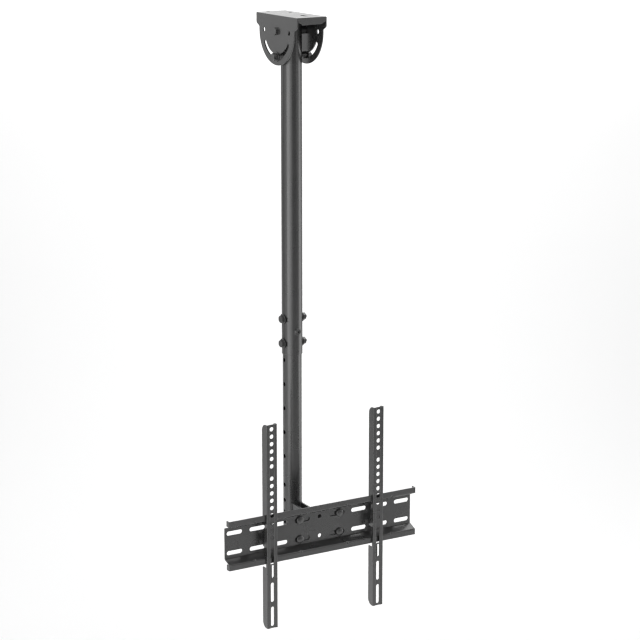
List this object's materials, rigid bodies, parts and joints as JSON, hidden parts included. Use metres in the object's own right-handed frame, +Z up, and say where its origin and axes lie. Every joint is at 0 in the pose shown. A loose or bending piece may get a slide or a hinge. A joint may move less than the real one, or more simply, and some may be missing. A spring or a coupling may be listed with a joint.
{
  "type": "tv ceiling mount",
  "caption": "Ceiling mount for a television: a swinging telescoping pole under a slotted ceiling bracket carries a slotted cross plate with hook-on vertical rails.",
  "frame": {"origin": "centre of the ceiling plate's top face, where it meets the ceiling", "axes": "+Z up into the ceiling, -Y towards the television, +X along the cross plate to the right as seen from the television's side"},
  "size_m": [0.4346, 0.2075, 1.1922],
  "materials": {
    "powder_coat": "satin fine-grained powder coat",
    "black_steel": "black oxide steel",
    "black_plastic": "matt moulded plastic"
  },
  "bodies": {
    "ceiling": {"ceiling_bracket": "powder_coat", "pivot_bolt": "black_steel", "pivot_washer": "black_steel", "pivot_nut": "black_steel"},
    "pole": {"outer_tube": "powder_coat", "pivot_spacers": "powder_coat", "lock_spacers": "powder_coat", "lock_bolt": "black_steel", "lock_washers": "black_steel", "lock_spring_washer": "black_steel", "lock_nut": "black_steel", "set_screw_boss": "powder_coat", "set_screw": "black_steel"},
    "lower_pole": {"inner_tube": "powder_coat", "pole_bolts": "black_steel", "pole_washers": "black_steel", "pole_nuts": "black_steel", "tube_end_cap": "black_plastic", "yoke_arm_left": "powder_coat", "yoke_arm_right": "powder_coat", "plate_bolts": "black_steel", "plate_washers": "black_steel", "plate_nuts": "black_steel"},
    "plate": {"cross_plate": "powder_coat"},
    "left_rail": {"rail_left": "powder_coat", "rail_stop_left": "powder_coat"},
    "right_rail": {"rail_right": "powder_coat", "rail_stop_right": "powder_coat"}
  },
  "joints": [
    {"name": "pole_swing", "type": "hinge", "parent": "ceiling", "child": "pole", "pos_m": [0, 0, -0.0313], "axis": [1, 0, 0], "range_deg": [-59, 59]},
    {"name": "pole_swivel", "type": "hinge", "parent": "pole", "child": "lower_pole", "pos_m": [0, 0, -0.6275], "axis": [0, 0, 1], "range_deg": [-30, 30]},
    {"name": "plate_shift", "type": "slide", "parent": "lower_pole", "child": "plate", "axis": [1, 0, 0], "range_m": [-0.0055, 0.0055]},
    {"name": "left_rail_slide", "type": "slide", "parent": "plate", "child": "left_rail", "axis": [1, 0, 0], "range_m": [-0.0765, 0.0735]},
    {"name": "right_rail_slide", "type": "slide", "parent": "plate", "child": "right_rail", "axis": [1, 0, 0], "range_m": [-0.0735, 0.0765]}
  ]
}
